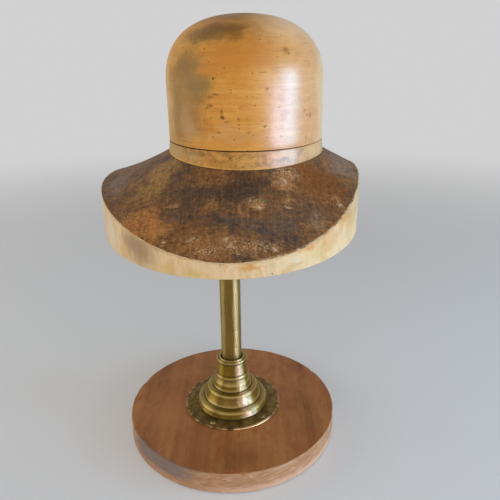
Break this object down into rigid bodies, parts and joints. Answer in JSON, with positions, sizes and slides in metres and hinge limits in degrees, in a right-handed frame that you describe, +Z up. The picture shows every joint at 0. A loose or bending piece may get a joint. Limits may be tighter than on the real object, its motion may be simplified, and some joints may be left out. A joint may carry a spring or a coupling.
{
  "type": "hat block",
  "caption": "Wooden hat block with a domed oval crown and a saddle-shaped brim, turning on a brass stem with a stepped foot and a round wooden base.",
  "frame": {"origin": "under the middle of the round base, on the stem's axis, on the surface the felt rests on", "axes": "+Z up along the stem, -Y towards the front of the hat, +X towards the side where the brim is narrower"},
  "size_m": [0.2662, 0.3696, 0.4769],
  "materials": {
    "felt": "dark green felt, cut round",
    "base_wood": "reddish brown hardwood, waxed, worn dull in places",
    "brim_wood": "hardwood, its top darkened and stained by steam and use, its upright edge pale",
    "block_wood": "honey-coloured hardwood, worn satin varnish",
    "dowel_wood": "plain beech, unfinished",
    "brass": "turned brass, lacquer gone, aged to a satin olive gold",
    "screw_brass": "small brass wood screws, dull",
    "steel": "plain steel rod, nuts, washers and screws",
    "washer_leather": "waxed leather washer"
  },
  "bodies": {
    "stand": {"felt_pad": "felt", "base_disc": "base_wood", "base_nut": "steel", "base_washer": "steel", "tie_rod": "steel", "top_nut": "steel", "top_washer": "steel", "foot_flange": "brass", "stepped_cover": "brass", "neck_ring": "brass", "stem_tube": "brass", "foot_plug": "brass", "top_plug": "brass", "flange_screw_1": "screw_brass", "flange_screw_2": "screw_brass", "flange_screw_3": "screw_brass", "flange_screw_4": "screw_brass", "flange_screw_5": "screw_brass"},
    "turntable": {"slip_washer": "washer_leather"},
    "block": {"brim_block": "brim_wood", "collar_block": "block_wood", "collar_screw_1": "steel", "collar_screw_2": "steel", "collar_screw_3": "steel", "collar_screw_4": "steel", "crown_dowel_1": "dowel_wood", "crown_dowel_2": "dowel_wood"},
    "crown": {"crown_block": "block_wood"}
  },
  "joints": [
    {"name": "block_turn", "type": "hinge", "parent": "stand", "child": "turntable", "pos_m": [0, 0, 0.31], "axis": [0, 0, 1], "continuous": true},
    {"name": "block_lift", "type": "slide", "parent": "turntable", "child": "block", "axis": [0, 0, 1], "range_m": [0, 0.05]},
    {"name": "crown_lift", "type": "slide", "parent": "block", "child": "crown", "axis": [0, 0, 1], "range_m": [0, 0.03]}
  ]
}
